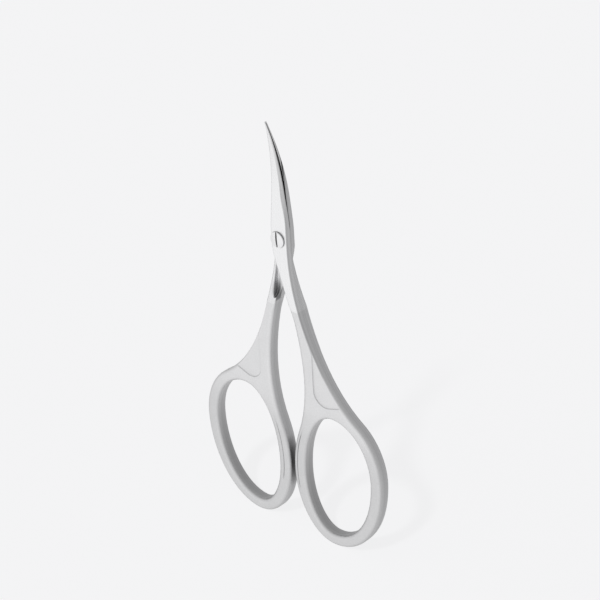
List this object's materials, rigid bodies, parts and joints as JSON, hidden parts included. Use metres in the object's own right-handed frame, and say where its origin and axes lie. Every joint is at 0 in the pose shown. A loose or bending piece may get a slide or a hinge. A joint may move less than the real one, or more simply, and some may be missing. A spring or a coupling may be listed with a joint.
{
  "type": "cuticle scissors",
  "caption": "Slim cuticle scissors with upward-curved pointed blades, a slotted pivot screw and oval finger rings.",
  "frame": {"origin": "the pivot axis in the plane of the back that the pair lies on", "axes": "+Z along the pivot screw towards its head, +Y towards the blade tips, +X towards the front half's ring"},
  "size_m": [0.0478, 0.093, 0.0045],
  "materials": {
    "rear_half_steel": "stainless steel, satin blade and bead-blasted handle",
    "front_half_steel": "stainless steel, satin blade and bead-blasted handle",
    "screw_steel": "turned steel, satin"
  },
  "bodies": {
    "rear": {"rear_half": "rear_half_steel", "pivot_screw": "screw_steel"},
    "front": {"front_half": "front_half_steel"}
  },
  "joints": [
    {"name": "blade_pivot", "type": "hinge", "parent": "rear", "child": "front", "pos_m": [0, 0, 0.00145], "axis": [0, 0, 1], "range_deg": [0, 110]}
  ]
}
